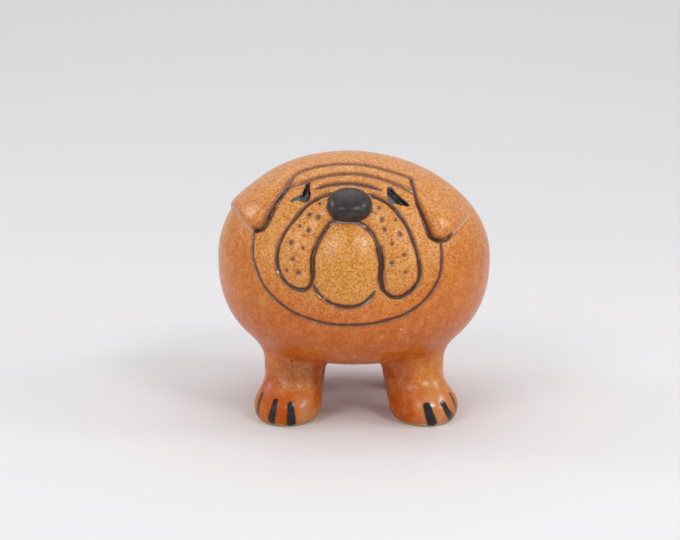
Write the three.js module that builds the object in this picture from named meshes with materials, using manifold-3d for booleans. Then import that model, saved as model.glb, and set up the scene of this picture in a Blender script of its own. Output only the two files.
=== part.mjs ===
// A dog figurine in glazed stoneware, cast in one piece: a broad egg-shaped body that is head and
// trunk at once, a flattened face with carved lines, two ear flaps in low relief and four short legs.
// Millimetres, Z up. The dog faces -Y and stands on Z = 0, with the middle of its outline at X = Y = 0.
// Left and right are as seen from the front.
import * as THREE from "three";
import { mergeVertices } from "three/addons/utils/BufferGeometryUtils.js";
import Module from "manifold-3d";

const wasm = await Module();
wasm.setup();

const GLAZE_COLOUR = 0xb8662f;

// The egg of the body. Its long axis rises towards the face, and its crown leans a little to one side.
const BODY_HALF_WIDTH = 52.4;
const BODY_FRONT = 70;
const BODY_REAR = 64;
const BODY_TOP = 40.5;
const BODY_BOTTOM = 41.5;
const BODY_BOTTOM_POWER = 2.4;
const BODY_CENTRE_Y = -7.3;
const BODY_CENTRE_Z = 59.4;
const BODY_RISE = THREE.MathUtils.degToRad(8);
const CROWN_LEAN = 2.5;

// The face is a shallow dome that leans back and cuts the front of the egg off with a soft edge.
const FACE_TILT = THREE.MathUtils.degToRad(22);
const FACE_X = -2.2;
const FACE_REACH = 47;
const FACE_DOME_RADIUS = 100;
const FACE_EDGE_ROUND = 20;

// Legs: a round shaft with a foot that reaches forwards and, in front, outwards. The hind ones are smaller.
const FRONT_LEG_X = { left: 21.3, right: 20.7 };
const FRONT_LEG_Y = -23.3;
const HIND_LEG_X = 23.4;
const HIND_LEG_Y = 26.7;
const HIND_LEG_SHARE = 0.86;
const LEG_TOP_Z = 38;
const LEG_TOP_RADIUS = 13.6;
const LEG_LOW_Z = 14;
const LEG_LOW_RADIUS = 11.3;
const LEG_FILLET = { inner: 1, outer: 5 };
const FOOT_HALF_WIDTH = { left: 12.6, right: 12.8 };
const FOOT_HALF_LENGTH = 15;
const FOOT_HALF_HEIGHT = 9.6;
const FOOT_CENTRE_Z = 5.3;
const FOOT_FORWARD = 4.5;
const FOOT_FILLET = { side: 5, front: 9 };
const FOOT_SPREAD = { left: 4.2, right: 6.2 };

// A stub of a tail, low on the rump.
const TAIL = { y: 49.95, z: 60, halfWidth: 7, halfLength: 8, halfHeight: 6.2, fillet: 5 };

// The drawing on the face is given in the face's own frame: u to the right as seen from the front,
// v up the leaning face, both from the middle of the body.
// The nose leans, so that it stands out furthest near its lower edge.
const NOSE = { u: 0.2, v: 9.3, out: 43.4, halfWidth: 8.3, halfHeight: 6.7, halfDepth: 7, lean: 0.5 };
const CHIN = { u: -0.7, v: -12.5, halfWidth: 12.6, halfHeight: 15.6, raise: 2.2 };
const JOWLS = [
  { u: -19.2, v: -8.5, halfWidth: 6.8, halfHeight: 14, raise: 1.2 },
  { u: 18.6, v: -8, halfWidth: 7, halfHeight: 16.5, raise: 1.2 },
];

// Ear flaps: a closed outline each, from the forehead down the free edge, round the tip, up the back
// edge and over the root. The flap stands proud near its tip and runs into the body within runOut of it.
// The side share says how much of the distance sideways from the tip counts towards that.
const EAR_RAISE = 2.9;
const EAR_SUNK = 0.6;
const EAR_THICKNESS = 1.6;
const EAR_FULL_REACH = 6;
const EAR_OUTLINE_STEPS = 34;
const EARS = [
  {
    tip: [-33, 2],
    runOut: 27,
    sideShare: 0.6,
    front: [[-22.2, 17.7], [-25, 13.6], [-27.5, 9], [-29.3, 4.8], [-31.3, 1.7], [-34.4, 1.3]],
    back: [[-36.1, 2.8], [-38.5, 5.8], [-41.1, 10.1], [-44.3, 15.7]],
    root: [[-40, 22], [-32, 26.5], [-22, 26], [-20.5, 21.5]],
  },
  {
    tip: [32.7, -3],
    runOut: 20,
    sideShare: 1,
    front: [
      [23.2, 21.8], [24.2, 16.3], [25.3, 10.4], [27, 5.6],
      [28.4, 1.3], [29.6, -1.8], [32.7, -3], [35.6, -1.7],
    ],
    back: [[37.9, 0.8], [40.1, 3.3], [42.7, 6.4], [45.6, 11.1]],
    root: [[42, 20], [34, 26], [25, 26]],
  },
];

// Carved lines of the face, as the few points that each smooth stroke runs through.
const LINE_WIDTH = 1.2;
const THIN_LINE_WIDTH = 0.95;
const WIDE_LINE_WIDTH = 1.6;
const STROKES = [
  { width: LINE_WIDTH, points: EARS[0].front },
  { width: LINE_WIDTH, points: [...EARS[1].front, EARS[1].back[0]] },
  {
    width: WIDE_LINE_WIDTH,
    points: [
      [-22.2, 18.1], [-21, 21.1], [-18.2, 24.2], [-12.5, 26], [-4, 27.2], [4, 26.9], [12, 25.3], [23.2, 21.8],
    ],
  },
  {
    width: WIDE_LINE_WIDTH,
    points: [
      [-21.8, 17.6], [-17, 18.9], [-10.5, 20.9], [-3, 22.1],
      [4.5, 21.9], [11.5, 20.4], [18, 17.9], [23.7, 15.2],
    ],
  },
  { width: WIDE_LINE_WIDTH, points: [[-12, 15.7], [-7.5, 17.1], [0, 17.8], [6, 16.9], [11.7, 15.2]] },
  {
    width: LINE_WIDTH,
    points: [
      [-5.7, 14], [-10, 12.6], [-14.7, 9.7], [-18.6, 5.5], [-22.6, 0.3], [-25.2, -4.6], [-26, -10.1],
      [-25.2, -14.9], [-22.5, -19.2], [-18, -21.6], [-14.5, -20.8], [-13.1, -17.2], [-13, -10.6],
      [-11.4, -5.2], [-8.9, -0.8], [-6.5, 2.6],
    ],
  },
  {
    width: LINE_WIDTH,
    points: [[-6.5, 2.6], [-4.5, 3], [-2, 2.8], [0.5, 2.5], [4, 2.2], [6.1, 0.8], [8.6, -1.9], [10.6, -6.6]],
  },
  { width: WIDE_LINE_WIDTH, points: [[10.6, -6.6], [11.7, -12.1], [11.5, -17.6], [12.2, -21.7]] },
  {
    width: LINE_WIDTH,
    points: [
      [12.2, -21.7], [15.3, -24.1], [18.8, -24.1], [22.9, -21.3], [25.4, -17.3], [25.5, -12.2], [24.2, -6.3],
      [22.1, -1.1], [19.6, 3.8], [16.9, 7.6], [13.4, 10.5], [9.9, 12.4], [7.2, 13.5],
    ],
  },
  { width: THIN_LINE_WIDTH, points: [[-12.6, -20.5], [-11, -23], [-9.6, -24.4]] },
  {
    width: THIN_LINE_WIDTH,
    points: [[-8.1, -25.5], [-4.5, -27.2], [-0.5, -27.9], [4, -27.1], [7.2, -25.1], [9.3, -22.4]],
  },
  {
    width: THIN_LINE_WIDTH,
    points: [
      [-34.5, 1.2], [-34.9, -7.1], [-32.5, -15.7], [-27.3, -23.4], [-19.3, -29.4], [-10, -32.8], [0, -34],
      [10, -33], [19.5, -30.1], [27.1, -24.8], [32.4, -16.9], [33.7, -9.1], [33.4, -2.9],
    ],
  },
];
const STROKE_STEP = 2.9;
const STROKE_SIDES = 5;
const STROKE_RADIUS_SHARE = 0.6;
const STROKE_SINK = 0.2;
const STROKE_END_SHARE = 0.45;

// Deep eye pits, as outlines, and the small pits that the whiskers would grow from.
const EYE_DEPTH = 1.8;
const EYE_FLOOR_SHARE = 0.6;
const EYES = [
  [
    [-15.3, 19], [-14, 19], [-14.2, 15.9], [-13.8, 13.9], [-14.1, 12], [-15, 10.9], [-16.4, 10.7],
    [-18.8, 11.7], [-20.9, 10.9], [-21.1, 11.7], [-19.6, 12.9], [-18.1, 13.1], [-17.2, 13.8], [-16.6, 15.5],
  ],
  [
    [14.3, 16.8], [15.7, 16.4], [17.1, 14.5], [18.8, 12.7], [20.5, 11.4], [22, 9.9], [21.5, 9.2], [19.3, 9.5],
    [17, 10], [15.3, 10.1], [14.2, 11.5], [13.9, 13.8],
  ],
];
const PIT_DEPTH = 0.7;
const PIT_RADIUS = 0.75;
const PITS = [
  [-10.5, 9.9], [-14.1, 5.6], [-11, 4.5], [-17.7, 1.4], [-14.4, -0.4], [-20.7, -4.8], [-16.4, -7],
  [-20.1, -10.8], [-18, -15.7], [-22.3, -14.7], [10.9, 8.1], [11.9, 3.5], [16.8, 3.7], [12.8, -0.1],
  [18.3, -1.9], [15.4, -5.4], [19.9, -9.4], [15.4, -12.6], [20.3, -15.5],
];

// Facets: a coarse net first, then edges are split wherever the surface bends away from them.
const NET_CELL = 6.5;
const NET_LOW = new THREE.Vector3(-61, -67, -16);
const NET_HIGH = new THREE.Vector3(61, 74, 109);
const FACET_ERROR = 0.5;
const FACE_FACET_ERROR = 0.22;
const LEG_FACET_ERROR = 0.22;
const SPLIT_PASSES = 4;
const SHORTEST_SPLIT = 1.6;
const RELAX_PASSES = 3;

const smoothStep = (value, from, to) => {
  const t = THREE.MathUtils.clamp((value - from) / (to - from), 0, 1);
  return t * t * (3 - 2 * t);
};

// Joins two distance values with a fillet of about the given size.
const smoothJoin = (a, b, size) => {
  const share = THREE.MathUtils.clamp(0.5 + (0.5 * (b - a)) / size, 0, 1);
  return b * (1 - share) + a * share - size * share * (1 - share);
};

const smoothCut = (a, b, size) => -smoothJoin(-a, -b, size);

const ellipsoid = (x, y, z, halfX, halfY, halfZ) => {
  const scaled = Math.max(Math.hypot(x / halfX, y / halfY, z / halfZ), 1e-6);
  return Math.hypot(x, y, z) * (1 - 1 / scaled);
};

const toFace = (p) => {
  const z = p.z - BODY_CENTRE_Z;
  const y = p.y - BODY_CENTRE_Y;
  return {
    u: p.x - FACE_X,
    v: y * Math.sin(FACE_TILT) + z * Math.cos(FACE_TILT),
    out: -y * Math.cos(FACE_TILT) + z * Math.sin(FACE_TILT),
  };
};

const fromFace = (u, v, out) =>
  new THREE.Vector3(
    FACE_X + u,
    BODY_CENTRE_Y + v * Math.sin(FACE_TILT) - out * Math.cos(FACE_TILT),
    BODY_CENTRE_Z + v * Math.cos(FACE_TILT) + out * Math.sin(FACE_TILT),
  );

const smoothCurve = (points) => new THREE.SplineCurve(points.map(([u, v]) => new THREE.Vector2(u, v)));

const moundHeight = (u, v, mound) => {
  const fromMiddle = Math.hypot((u - mound.u) / mound.halfWidth, (v - mound.v) / mound.halfHeight);
  return mound.raise * Math.max(0, 1 - fromMiddle ** 2);
};

const reliefHeight = (p) => {
  const { u, v, out } = toFace(p);
  const front = smoothStep(out, -5, 8);
  return front * Math.max(...[CHIN, ...JOWLS].map((mound) => moundHeight(u, v, mound)));
};

const trunk = (p) => {
  const back = p.y - BODY_CENTRE_Y;
  const up = p.z - BODY_CENTRE_Z;
  const crown = THREE.MathUtils.clamp(up / BODY_TOP, 0, 1.3);
  const x = p.x + CROWN_LEAN * crown * crown;
  const y = back * Math.cos(BODY_RISE) - up * Math.sin(BODY_RISE);
  const z = back * Math.sin(BODY_RISE) + up * Math.cos(BODY_RISE);
  const power = z < 0 ? BODY_BOTTOM_POWER : 2;
  const level = Math.hypot(x / BODY_HALF_WIDTH, y / (y < 0 ? BODY_FRONT : BODY_REAR));
  const height = Math.abs(z) / (z < 0 ? BODY_BOTTOM : BODY_TOP);
  const scaled = Math.max((level ** power + height ** power) ** (1 / power), 1e-6);
  const egg = Math.hypot(x, y, z) * (1 - 1 / scaled);
  const domeCentre = fromFace(0, 0, FACE_REACH - FACE_DOME_RADIUS);
  return smoothCut(egg, p.distanceTo(domeCentre) - FACE_DOME_RADIUS, FACE_EDGE_ROUND);
};

const leg = (p, x, y, spread, footHalfWidth, share) => {
  const lean = (0.35 * spread) / (LEG_TOP_Z - LEG_LOW_Z);
  const axis = new THREE.Vector3(lean, 0, -1);
  const length = LEG_TOP_Z - LEG_LOW_Z;
  const from = new THREE.Vector3(p.x - x, p.y - y, p.z - LEG_TOP_Z);
  const t = THREE.MathUtils.clamp(from.dot(axis) / (axis.lengthSq() * length), 0, 1);
  const away = from.addScaledVector(axis, -t * length).length();
  const shaft = away - share * THREE.MathUtils.lerp(LEG_TOP_RADIUS, LEG_LOW_RADIUS, t);
  const foot = ellipsoid(
    p.x - x - spread, p.y - y + FOOT_FORWARD, p.z - share * FOOT_CENTRE_Z,
    share * footHalfWidth, share * FOOT_HALF_LENGTH, share * FOOT_HALF_HEIGHT,
  );
  const front = smoothStep(y - p.y, 0, LEG_LOW_RADIUS);
  return smoothJoin(shaft, foot, THREE.MathUtils.lerp(FOOT_FILLET.side, FOOT_FILLET.front, front));
};

const LEGS = [
  [-FRONT_LEG_X.left, FRONT_LEG_Y, -FOOT_SPREAD.left, FOOT_HALF_WIDTH.left, 1],
  [FRONT_LEG_X.right, FRONT_LEG_Y, FOOT_SPREAD.right, FOOT_HALF_WIDTH.right, 1],
  [-HIND_LEG_X, HIND_LEG_Y, 0, FOOT_HALF_WIDTH.left, HIND_LEG_SHARE],
  [HIND_LEG_X, HIND_LEG_Y, 0, FOOT_HALF_WIDTH.left, HIND_LEG_SHARE],
];

// The whole form without its cuts: negative inside, zero on the surface, in millimetres nearby.
const form = (p) => {
  const legs = Math.min(...LEGS.map((placed) => leg(p, ...placed)));
  const outer = smoothStep(Math.abs(p.x), 12, 30);
  const fillet = THREE.MathUtils.lerp(LEG_FILLET.inner, LEG_FILLET.outer, outer);
  const tail = ellipsoid(p.x, p.y - TAIL.y, p.z - TAIL.z, TAIL.halfWidth, TAIL.halfLength, TAIL.halfHeight);
  return smoothJoin(smoothJoin(trunk(p), legs, fillet), tail, TAIL.fillet) - reliefHeight(p);
};

const slope = (p) => {
  const e = 0.05;
  const along = ["x", "y", "z"].map((axis) => {
    const ahead = p.clone();
    const behind = p.clone();
    ahead[axis] += e;
    behind[axis] -= e;
    return (form(ahead) - form(behind)) / (2 * e);
  });
  return new THREE.Vector3(...along);
};

const settle = (p, passes) => {
  for (let i = 0; i < passes; i += 1) {
    const gradient = slope(p);
    p.addScaledVector(gradient, -THREE.MathUtils.clamp(form(p) / gradient.lengthSq(), -3, 3));
  }
  return p;
};

// The point of the surface that lies under a place of the face's drawing.
const onFace = ({ x: u, y: v }) => {
  let out = 62;
  for (let i = 0; i < 60; i += 1) {
    out -= 0.8 * form(fromFace(u, v, out));
  }
  return fromFace(u, v, out);
};

const gridIndex = (counts) => (i, j, k) => i + counts[0] * (j + counts[1] * k);

// A net of four-sided meshes around the sign changes of the form on a coarse grid.
const coarseNet = () => {
  const size = NET_HIGH.clone().sub(NET_LOW);
  const counts = size.toArray().map((length) => Math.ceil(length / NET_CELL) + 1);
  const at = gridIndex(counts);
  const corner = (i, j, k) => new THREE.Vector3(i, j, k).multiplyScalar(NET_CELL).add(NET_LOW);
  const values = [];
  for (let k = 0; k < counts[2]; k += 1) {
    for (let j = 0; j < counts[1]; j += 1) {
      for (let i = 0; i < counts[0]; i += 1) {
        values.push(form(corner(i, j, k)));
      }
    }
  }
  const points = [];
  const cellPoint = new Map();
  const edges = [1, 2, 4].flatMap((step) =>
    [...Array(8).keys()].filter((a) => !(a & step)).map((a) => [a, a + step]),
  );
  const pointOf = (i, j, k) => {
    const key = at(i, j, k);
    if (!cellPoint.has(key)) {
      const corners = [...Array(8).keys()].map((c) => [i + (c & 1), j + ((c >> 1) & 1), k + (c >> 2)]);
      const sum = new THREE.Vector3();
      let crossings = 0;
      edges.forEach(([a, b]) => {
        const va = values[at(...corners[a])];
        const vb = values[at(...corners[b])];
        if (va < 0 !== vb < 0) {
          sum.add(corner(...corners[a]).lerp(corner(...corners[b]), va / (va - vb)));
          crossings += 1;
        }
      });
      points.push(sum.divideScalar(crossings));
      cellPoint.set(key, points.length - 1);
    }
    return cellPoint.get(key);
  };
  const triangles = [];
  const steps = [[1, 0, 0], [0, 1, 0], [0, 0, 1]];
  for (let k = 1; k < counts[2] - 1; k += 1) {
    for (let j = 1; j < counts[1] - 1; j += 1) {
      for (let i = 1; i < counts[0] - 1; i += 1) {
        steps.forEach((step, axis) => {
          const here = values[at(i, j, k)] < 0;
          const there = values[at(i + step[0], j + step[1], k + step[2])] < 0;
          if (here !== there) {
            const s = steps[(axis + 1) % 3];
            const t = steps[(axis + 2) % 3];
            const quad = [[0, 0], [1, 0], [1, 1], [0, 1]].map(([a, b]) =>
              pointOf(i - a * s[0] - b * t[0], j - a * s[1] - b * t[1], k - a * s[2] - b * t[2]),
            );
            const [a, b, c, d] = here ? quad : quad.reverse();
            triangles.push([a, b, c], [a, c, d]);
          }
        });
      }
    }
  }
  return { points, triangles };
};

// How far a facet may lie off the form: least on the face, the legs and the tail.
const facetError = (p) => {
  const { u, v, out } = toFace(p);
  if (out > 12 && Math.hypot(u, v + 4) < 48) {
    return FACE_FACET_ERROR;
  }
  const onTail = Math.hypot(p.x, p.y - TAIL.y, p.z - TAIL.z) < 2 * TAIL.halfLength;
  return p.z < LEG_TOP_Z - LEG_FILLET.outer || onTail ? LEG_FACET_ERROR : FACET_ERROR;
};

const middleOf = (net, a, b) => net.points[a].clone().add(net.points[b]).multiplyScalar(0.5);

const bendsAway = (net, a, b) => {
  if (net.points[a].distanceTo(net.points[b]) < 2 * SHORTEST_SPLIT) {
    return false;
  }
  const middle = middleOf(net, a, b);
  return Math.abs(form(middle)) / slope(middle).length() > facetError(middle);
};

// One pass of splitting: a triangle falls into two, three or four as its edges ask.
const splitPass = (net) => {
  const halves = new Map();
  const halfOf = (a, b) => {
    const key = a < b ? `${a},${b}` : `${b},${a}`;
    if (!halves.has(key)) {
      const split = bendsAway(net, a, b);
      halves.set(key, split ? net.points.push(settle(middleOf(net, a, b), 4)) - 1 : null);
    }
    return halves.get(key);
  };
  net.triangles = net.triangles.flatMap((corners) => {
    let [a, b, c] = corners;
    let [ab, bc, ca] = [halfOf(a, b), halfOf(b, c), halfOf(c, a)];
    const cuts = [ab, bc, ca].filter((half) => half !== null).length;
    const turned = () => {
      [a, b, c, ab, bc, ca] = [b, c, a, bc, ca, ab];
    };
    if (cuts === 3) {
      return [[a, ab, ca], [ab, b, bc], [ca, bc, c], [ab, bc, ca]];
    }
    if (cuts === 2) {
      while (ca !== null) {
        turned();
      }
      return [[ab, b, bc], [a, ab, bc], [a, bc, c]];
    }
    if (cuts === 1) {
      while (ab === null) {
        turned();
      }
      return [[a, ab, c], [ab, b, c]];
    }
    return [[a, b, c]];
  });
};

// Evens the facets out: each point moves towards the middle of its neighbours and back to the form.
const relax = (net) => {
  const sums = net.points.map(() => new THREE.Vector3());
  const counts = net.points.map(() => 0);
  net.triangles.forEach((corners) => {
    corners.forEach((a, i) => {
      sums[a].add(net.points[corners[(i + 1) % 3]]);
      counts[a] += 1;
    });
  });
  net.points.forEach((p, i) => settle(p.lerp(sums[i].divideScalar(counts[i]), 0.5), 2));
};

const asSolid = (positions, triangles) =>
  new wasm.Manifold(
    new wasm.Mesh({
      numProp: 3,
      vertProperties: new Float32Array(positions),
      triVerts: new Uint32Array(triangles),
    }),
  );

const netSolid = (net) => asSolid(net.points.flatMap((p) => p.toArray()), net.triangles.flat());

const geometrySolid = (geometry, matrix) => {
  geometry.deleteAttribute("normal");
  geometry.deleteAttribute("uv");
  const merged = mergeVertices(geometry, 1e-4).applyMatrix4(matrix);
  return asSolid(merged.attributes.position.array, merged.index.array);
};

const bodyNet = () => {
  const net = coarseNet();
  net.points.forEach((p) => settle(p, 5));
  relax(net);
  for (let pass = 0; pass < SPLIT_PASSES; pass += 1) {
    splitPass(net);
  }
  for (let pass = 0; pass < RELAX_PASSES; pass += 1) {
    relax(net);
  }
  return net;
};

// A ring-by-ring tube along points of the surface, thinner at its ends: the cut of a carving tool.
const strokeSolid = ({ width, points }) => {
  const curve = smoothCurve(points);
  const steps = Math.max(3, Math.round(curve.getLength() / STROKE_STEP));
  const spine = curve.getSpacedPoints(steps).map(onFace);
  const normals = spine.map((p) => slope(p).normalize());
  const rings = spine.map((p, i) => {
    const ahead = spine[Math.min(i + 1, steps)];
    const behind = spine[Math.max(i - 1, 0)];
    const along = ahead.clone().sub(behind).normalize();
    const side = along.clone().cross(normals[i]).normalize();
    const radius = STROKE_RADIUS_SHARE * width * (i === 0 || i === steps ? STROKE_END_SHARE : 1);
    return [...Array(STROKE_SIDES).keys()].map((k) => {
      const turn = (k / STROKE_SIDES - 0.25) * 2 * Math.PI;
      return p
        .clone()
        .addScaledVector(side, radius * Math.cos(turn))
        .addScaledVector(normals[i], radius * Math.sin(turn) - STROKE_SINK);
    });
  });
  const positions = [...rings.flat(), spine[0], spine[steps]].flatMap((p) => p.toArray());
  const triangles = [];
  const startCap = rings.length * STROKE_SIDES;
  for (let k = 0; k < STROKE_SIDES; k += 1) {
    const next = (k + 1) % STROKE_SIDES;
    for (let i = 0; i < steps; i += 1) {
      const low = i * STROKE_SIDES;
      const high = low + STROKE_SIDES;
      triangles.push(low + k, high + k, high + next, low + k, high + next, low + next);
    }
    const last = steps * STROKE_SIDES;
    triangles.push(startCap, k, next, startCap + 1, last + next, last + k);
  }
  return asSolid(positions, triangles);
};

// A closed plate that follows the surface: rings of its outline, each drawn smaller towards the middle
// and lifted off the surface by its own amount, from the top's middle over the rim to the floor's middle.
const plateSolid = (outline, rings) => {
  const total = outline.reduce((sum, corner) => sum.add(corner), new THREE.Vector2());
  const middle = total.divideScalar(outline.length);
  const place = (corner, { share, lift }) => {
    const spot = middle.clone().lerp(corner, share);
    const p = onFace(spot);
    return p.addScaledVector(slope(p).normalize(), lift(spot));
  };
  const count = outline.length;
  const levels = rings.slice(1, -1).map((ring) => outline.map((corner) => place(corner, ring)));
  const points = [...levels.flat(), place(middle, rings[0]), place(middle, rings[rings.length - 1])];
  const triangles = [];
  const clockwise = THREE.ShapeUtils.area(outline) < 0;
  const add = (a, b, c) => triangles.push(...(clockwise ? [a, c, b] : [a, b, c]));
  const topMiddle = levels.length * count;
  const lowest = (levels.length - 1) * count;
  for (let i = 0; i < count; i += 1) {
    const next = (i + 1) % count;
    add(i, next, topMiddle);
    add(lowest + next, lowest + i, topMiddle + 1);
    for (let level = 0; level < lowest; level += count) {
      add(level + i, level + count + i, level + next);
      add(level + next, level + count + i, level + count + next);
    }
  }
  return asSolid(points.flatMap((p) => p.toArray()), triangles);
};

const eyeSolid = (outline) => {
  const corners = outline.map(([u, v]) => new THREE.Vector2(u, v));
  const above = () => 1;
  const below = () => -EYE_DEPTH;
  return plateSolid(corners, [
    { share: 0, lift: above },
    { share: 1.15, lift: above },
    { share: EYE_FLOOR_SHARE, lift: below },
    { share: 0, lift: below },
  ]);
};

const earSolid = ({ tip, runOut, sideShare, front, back, root }) => {
  const ring = smoothCurve([...front, ...back, ...root, front[0]]);
  const outline = ring.getSpacedPoints(EAR_OUTLINE_STEPS).slice(0, -1);
  const top = (spot) => {
    const fromTip = Math.hypot(sideShare * (spot.x - tip[0]), spot.y - tip[1]);
    return (EAR_RAISE + EAR_SUNK) * (1 - smoothStep(fromTip, EAR_FULL_REACH, runOut)) - EAR_SUNK;
  };
  const floor = () => -EAR_THICKNESS;
  return plateSolid(outline, [
    { share: 0, lift: top },
    { share: 0.35, lift: top },
    { share: 0.7, lift: top },
    { share: 1, lift: top },
    { share: 1, lift: floor },
    { share: 0, lift: floor },
  ]);
};

const pitSolid = ([u, v]) => {
  const p = onFace({ x: u, y: v });
  const inwards = slope(p).normalize().negate();
  const height = 2 * PIT_DEPTH;
  const turn = new THREE.Quaternion().setFromUnitVectors(new THREE.Vector3(0, 1, 0), inwards);
  const cone = new THREE.ConeGeometry(2 * PIT_RADIUS, height, 6);
  return geometrySolid(cone, new THREE.Matrix4().compose(p, turn, new THREE.Vector3(1, 1, 1)));
};

const noseSolid = () => {
  const ball = new THREE.SphereGeometry(1, 20, 14);
  ball.scale(NOSE.halfWidth, NOSE.halfDepth, NOSE.halfHeight);
  ball.applyMatrix4(new THREE.Matrix4().makeShear(0, 0, 0, 0, 0, NOSE.lean));
  ball.applyMatrix4(new THREE.Matrix4().makeRotationX(-FACE_TILT));
  return geometrySolid(ball, new THREE.Matrix4().setPosition(fromFace(NOSE.u, NOSE.v, NOSE.out)));
};

// Everything under the standing plane, which leaves four flat soles.
const belowGround = () => {
  const depth = 20;
  const block = new THREE.BoxGeometry(140, 160, depth);
  return geometrySolid(block, new THREE.Matrix4().makeTranslation(0, 0, -depth / 2));
};

const figurineGeometry = () => {
  let solid = netSolid(bodyNet()).subtract(belowGround());
  EARS.forEach((ear) => {
    solid = solid.add(earSolid(ear));
  });
  STROKES.forEach((stroke) => {
    solid = solid.subtract(strokeSolid(stroke));
  });
  solid = solid.add(noseSolid());
  EYES.forEach((eye) => {
    solid = solid.subtract(eyeSolid(eye));
  });
  PITS.forEach((pit) => {
    solid = solid.subtract(pitSolid(pit));
  });
  const mesh = solid.getMesh();
  const geometry = new THREE.BufferGeometry();
  geometry.setAttribute("position", new THREE.BufferAttribute(mesh.vertProperties, 3));
  geometry.setIndex(new THREE.BufferAttribute(mesh.triVerts, 1));
  return geometry;
};

const glaze = new THREE.MeshStandardMaterial({ color: GLAZE_COLOUR, roughness: 0.35, metalness: 0 });
const figurine = new THREE.Mesh(figurineGeometry(), glaze);
figurine.name = "dog_figurine";

const part = new THREE.Group();
part.add(figurine);

export default part;
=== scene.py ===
import math

import bpy
import numpy as np
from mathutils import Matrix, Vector
from mathutils.kdtree import KDTree


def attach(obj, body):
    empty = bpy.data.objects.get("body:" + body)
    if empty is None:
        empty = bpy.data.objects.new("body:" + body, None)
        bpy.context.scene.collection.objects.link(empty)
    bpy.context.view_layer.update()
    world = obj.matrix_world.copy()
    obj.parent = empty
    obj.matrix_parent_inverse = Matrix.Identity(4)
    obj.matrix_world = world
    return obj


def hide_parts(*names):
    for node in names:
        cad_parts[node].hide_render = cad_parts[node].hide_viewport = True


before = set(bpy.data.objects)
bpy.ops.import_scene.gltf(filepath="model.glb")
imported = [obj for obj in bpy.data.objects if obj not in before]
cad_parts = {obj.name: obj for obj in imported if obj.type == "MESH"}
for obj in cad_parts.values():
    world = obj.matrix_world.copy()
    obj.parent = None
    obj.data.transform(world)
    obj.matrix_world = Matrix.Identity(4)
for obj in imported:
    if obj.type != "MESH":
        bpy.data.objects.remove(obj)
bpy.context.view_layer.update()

# A dog figurine in glazed stoneware. Shapes are worked out in millimetres, in the frame of the solid:
# Z up, the dog faces -Y and stands on Z = 0.
MM = 0.001
TINY = 1e-6

# The glaze lies this far inside the solid, so that its finer surface stays within the solid's box.
INSET = 0.1

BODY_HALF_WIDTH = 52.4
BODY_FRONT = 70
BODY_REAR = 64
BODY_TOP = 40.5
BODY_BOTTOM = 41.5
BODY_TOP_POWER = 2.0
BODY_BOTTOM_POWER = 2.4
BODY_CENTRE = np.array([0, -7.3, 59.4])
BODY_RISE = math.radians(8)
CROWN_LEAN = 2.5

# The face leans back. Places on it are given as u across, v up and out away from it.
FACE_TILT = math.radians(22)
FACE_ORIGIN = np.array([-2.2, -7.3, 59.4])
FACE_ACROSS = np.array([1.0, 0.0, 0.0])
FACE_UP = np.array([0.0, math.sin(FACE_TILT), math.cos(FACE_TILT)])
FACE_OUT = np.array([0.0, -math.cos(FACE_TILT), math.sin(FACE_TILT)])
FACE_REACH = 47
FACE_DOME_RADIUS = 100
FACE_EDGE_ROUND = 20

LEG_TOP_Z = 38
LEG_TOP_RADIUS = 13.6
LEG_LOW_Z = 14
LEG_LOW_RADIUS = 11.3
LEG_LEAN = 0.35
INNER_LEG_FILLET = 1
OUTER_LEG_FILLET = 5
# The legs' join with the body goes from the inner to the outer fillet between these distances to the side.
LEG_SIDES = (12, 30)
FOOT_HALF_LENGTH = 15
FOOT_HALF_HEIGHT = 9.6
FOOT_CENTRE_Z = 5.3
FOOT_FORWARD = 4.5
FOOT_FILLET = 5
FRONT_FOOT_FILLET = 9
SOLE_EDGE_ROUND = 1.2
# Each leg: x, y, how far its foot lies to the side, the foot's half width, the leg's share of full size.
LEGS = [
    (-21.3, -23.3, -4.2, 12.6, 1),
    (20.7, -23.3, 6.2, 12.8, 1),
    (-23.4, 26.7, 0, 12.6, 0.86),
    (23.4, 26.7, 0, 12.6, 0.86),
]

TAIL_CENTRE = np.array([0, 49.95, 60])
TAIL_SIZE = np.array([7, 8, 6.2])
TAIL_FILLET = 5

# Mounds of the face: u, v, half width, half height and how far each stands out. They fade in from the side.
MOUNDS = [(-0.7, -12.5, 12.6, 15.6, 2.2), (-19.2, -8.5, 6.8, 14, 1.2), (18.6, -8, 7, 16.5, 1.2)]
MOUND_FADE = (-5, 8)

NOSE_CENTRE = (0.2, 9.3, 43.4)
NOSE_SIZE = (8.05, 6.7, 7)
NOSE_LEAN = 0.5
NOSE_LOWER_POWER = 2.3
NOSE_UPPER_POWER = 2.0
NOSE_DEPTH_POWER = 2.5
NOSE_FILLET = 1.2

# A short run of the dark glaze beside the nose, and a pale painted highlight along the groove below it.
NOSE_RUN = [(7.6, 6.1), (8.8, 5.9), (9.6, 5.7)]
MOUTH_GLINT_LINE = [(-6.6, 1.7), (-5.6, 2.2), (-3.5, 2.35), (-1, 2.2), (1.5, 2.0), (4, 1.7), (6, 0.9)]
MOUTH_GLINT_HALF_WIDTH = 0.3

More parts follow.
